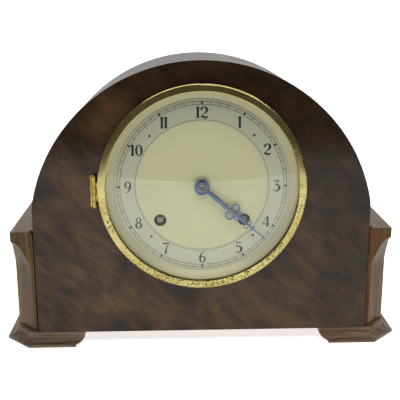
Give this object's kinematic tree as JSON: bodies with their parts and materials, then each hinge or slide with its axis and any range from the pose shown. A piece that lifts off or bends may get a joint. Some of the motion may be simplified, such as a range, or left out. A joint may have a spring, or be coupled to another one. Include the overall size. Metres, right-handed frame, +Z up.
{
  "type": "mantel clock",
  "caption": "Arched wooden mantel clock with a hinged round brass bezel, convex glass, chapter ring, pierced hands, key wound striking movement and a rear door.",
  "frame": {"origin": "middle of the footprint of the whole clock, at table height", "axes": "+X to the right as the dial is faced, +Y from the dial to the back, +Z up"},
  "size_m": [0.319, 0.1278, 0.226],
  "materials": {
    "walnut_veneer": "high gloss figured veneer",
    "walnut_solid": "gloss polished",
    "plywood": "plain, thinly varnished",
    "softwood": "raw",
    "bezel_brass": "lacquered, pitted with age",
    "dial_gilt": "matt champagne gilt",
    "dial_silvered": "circular satin",
    "pin_dark": "darkened",
    "glass": "clear convex",
    "blued_steel": "heat blued",
    "bright_steel": "polished",
    "movement_brass": "satin, lacquered",
    "spring_steel": "blued spring",
    "cast_iron": "painted black"
  },
  "bodies": {
    "case": {"arch_shell": "walnut_veneer", "back_frame": "plywood", "back_plate": "movement_brass", "base_board": "plywood", "bezel_hinge_case_leaf": "bezel_brass", "case_screws": "bright_steel", "chapter_ring": "dial_silvered", "chapter_ring_pins": "pin_dark", "dial_pan": "dial_gilt", "door_hinge_frame_leaf": "bezel_brass", "front_panel": "walnut_veneer", "front_plate": "movement_brass", "glue_blocks": "softwood", "gong_block": "cast_iron", "gong_rods": "movement_brass", "left_foot": "walnut_solid", "left_wing": "walnut_solid", "movement_brackets": "bright_steel", "plate_nuts": "movement_brass", "plate_pillars": "movement_brass", "right_foot": "walnut_solid", "right_wing": "walnut_solid", "suspension_cock": "movement_brass"},
    "bezel": {"bezel_ring": "bezel_brass", "bezel_glass": "glass", "glass_retainer": "bezel_brass", "bezel_hinge_door_leaf": "bezel_brass", "bezel_hinge_pin": "bezel_brass"},
    "rear_door": {"back_door": "plywood", "door_hinge_door_leaf": "bezel_brass", "door_hinge_pin": "bezel_brass", "door_knob": "bezel_brass"},
    "minute_hand_set": {"centre_arbor_and_cannon": "movement_brass", "minute_hand": "blued_steel", "hand_nut": "bright_steel"},
    "hour_hand_set": {"hour_hand": "blued_steel", "hour_wheel": "movement_brass"},
    "minute_wheel_set": {"minute_wheel": "movement_brass"},
    "going_barrel_set": {"going_barrel": "movement_brass", "going_mainspring": "spring_steel"},
    "going_winding_set": {"going_winding_arbor": "bright_steel"},
    "going_click_set": {"going_click": "bright_steel"},
    "going_second_set": {"going_second_wheel": "movement_brass"},
    "centre_wheel_set": {"centre_wheel": "movement_brass"},
    "third_wheel_set": {"third_wheel": "movement_brass"},
    "escape_wheel_set": {"escape_wheel": "movement_brass"},
    "anchor_set": {"anchor": "bright_steel"},
    "pendulum": {"pendulum_rod": "bright_steel", "pendulum_bob": "movement_brass"},
    "rating_nut_set": {"rating_nut": "movement_brass"},
    "strike_barrel_set": {"strike_barrel": "movement_brass", "strike_mainspring": "spring_steel"},
    "strike_winding_set": {"strike_winding_arbor": "bright_steel"},
    "strike_click_set": {"strike_click": "bright_steel"},
    "strike_pin_set": {"strike_pin_wheel": "movement_brass"},
    "strike_third_set": {"strike_third_wheel": "movement_brass"},
    "warning_wheel_set": {"warning_wheel": "movement_brass"},
    "fly_set": {"fly": "bright_steel"},
    "hammer_set": {"hammer": "bright_steel"},
    "rack_set": {"strike_rack": "bright_steel"}
  },
  "joints": [
    {"name": "bezel_opening", "type": "hinge", "parent": "case", "child": "bezel", "pos_m": [-0.083, -0.0517, 0.129], "axis": [0, 0, -1], "range_deg": [0, 115]},
    {"name": "rear_door_opening", "type": "hinge", "parent": "case", "child": "rear_door", "pos_m": [-0.074, 0.0588, 0.084], "axis": [0, 0, 1], "range_deg": [0, 110]},
    {"name": "minute_hand_turning", "type": "hinge", "parent": "case", "child": "minute_hand_set", "pos_m": [0, -0.0491, 0.129], "axis": [0, 1, 0], "continuous": true},
    {"name": "hour_hand_turning", "type": "hinge", "parent": "case", "child": "hour_hand_set", "pos_m": [0, -0.0491, 0.129], "axis": [0, 1, 0], "continuous": true},
    {"name": "minute_wheel_turning", "type": "hinge", "parent": "case", "child": "minute_wheel_set", "pos_m": [0, -0.0371, 0.147], "axis": [0, 1, 0], "continuous": true},
    {"name": "escape_wheel_turning", "type": "hinge", "parent": "case", "child": "escape_wheel_set", "pos_m": [0, -0.0191, 0.15457], "axis": [0, 1, 0], "continuous": true},
    {"name": "third_wheel_turning", "type": "hinge", "parent": "case", "child": "third_wheel_set", "pos_m": [0.00875, -0.0191, 0.14416], "axis": [0, 1, 0], "continuous": true},
    {"name": "centre_wheel_turning", "type": "hinge", "parent": "case", "child": "centre_wheel_set", "pos_m": [0, -0.0191, 0.129], "axis": [0, 1, 0], "continuous": true},
    {"name": "going_second_wheel_turning", "type": "hinge", "parent": "case", "child": "going_second_set", "pos_m": [0.02036, -0.0191, 0.12386], "axis": [0, 1, 0], "continuous": true},
    {"name": "going_barrel_turning", "type": "hinge", "parent": "case", "child": "going_barrel_set", "pos_m": [0.0329, -0.0191, 0.102], "axis": [0, 1, 0], "continuous": true},
    {"name": "going_winding", "type": "hinge", "parent": "case", "child": "going_winding_set", "pos_m": [0.0329, -0.0191, 0.102], "axis": [0, 1, 0], "continuous": true},
    {"name": "going_click_lift", "type": "hinge", "parent": "case", "child": "going_click_set", "pos_m": [0.0444, -0.0001, 0.11], "axis": [0, 1, 0], "range_deg": [0, 12]},
    {"name": "pendulum_swing", "type": "hinge", "parent": "case", "child": "pendulum", "pos_m": [0, 0.0079, 0.168], "axis": [0, 1, 0], "range_deg": [-4, 4]},
    {"name": "anchor_rocking", "type": "hinge", "parent": "case", "child": "anchor_set", "pos_m": [0, -0.0091, 0.168], "axis": [0, 1, 0], "range_deg": [-4, 4]},
    {"name": "rating_nut_turning", "type": "hinge", "parent": "pendulum", "child": "rating_nut_set", "pos_m": [0, 0.0079, 0.0352], "axis": [0, 0, 1], "continuous": true},
    {"name": "fly_spinning", "type": "hinge", "parent": "case", "child": "fly_set", "pos_m": [-0.01311, -0.0191, 0.16185], "axis": [0, 1, 0], "continuous": true},
    {"name": "warning_wheel_turning", "type": "hinge", "parent": "case", "child": "warning_wheel_set", "pos_m": [-0.01109, -0.0191, 0.15043], "axis": [0, 1, 0], "continuous": true},
    {"name": "strike_third_wheel_turning", "type": "hinge", "parent": "case", "child": "strike_third_set", "pos_m": [-0.02547, -0.0191, 0.1452], "axis": [0, 1, 0], "continuous": true},
    {"name": "strike_pin_wheel_turning", "type": "hinge", "parent": "case", "child": "strike_pin_set", "pos_m": [-0.03597, -0.0191, 0.12701], "axis": [0, 1, 0], "continuous": true},
    {"name": "strike_barrel_turning", "type": "hinge", "parent": "case", "child": "strike_barrel_set", "pos_m": [-0.0329, -0.0191, 0.102], "axis": [0, 1, 0], "continuous": true},
    {"name": "strike_winding", "type": "hinge", "parent": "case", "child": "strike_winding_set", "pos_m": [-0.0329, -0.0191, 0.102], "axis": [0, 1, 0], "continuous": true},
    {"name": "strike_click_lift", "type": "hinge", "parent": "case", "child": "strike_click_set", "pos_m": [-0.0214, -0.0001, 0.11], "axis": [0, 1, 0], "range_deg": [0, 12]},
    {"name": "hammer_lift", "type": "hinge", "parent": "case", "child": "hammer_set", "pos_m": [-0.044, 0.0009, 0.086], "axis": [0, 1, 0], "range_deg": [0, 15]},
    {"name": "rack_travel", "type": "hinge", "parent": "case", "child": "rack_set", "pos_m": [-0.044, -0.0401, 0.092], "axis": [0, 1, 0], "range_deg": [0, 9]}
  ],
  "couplings": [
    {"joint": "hour_hand_turning", "follows": "minute_hand_turning", "ratio": 0.083333},
    {"joint": "minute_wheel_turning", "follows": "minute_hand_turning", "ratio": -0.33333},
    {"joint": "third_wheel_turning", "follows": "escape_wheel_turning", "ratio": -0.13333},
    {"joint": "centre_wheel_turning", "follows": "escape_wheel_turning", "ratio": 0.017204},
    {"joint": "going_second_wheel_turning", "follows": "escape_wheel_turning", "ratio": -0.0028674},
    {"joint": "going_barrel_turning", "follows": "escape_wheel_turning", "ratio": 0.0004779},
    {"joint": "anchor_rocking", "follows": "pendulum_swing", "ratio": 1},
    {"joint": "warning_wheel_turning", "follows": "fly_spinning", "ratio": -0.16},
    {"joint": "strike_third_wheel_turning", "follows": "fly_spinning", "ratio": 0.021333},
    {"joint": "strike_pin_wheel_turning", "follows": "fly_spinning", "ratio": -0.0035556},
    {"joint": "strike_barrel_turning", "follows": "fly_spinning", "ratio": 0.00059259}
  ]
}
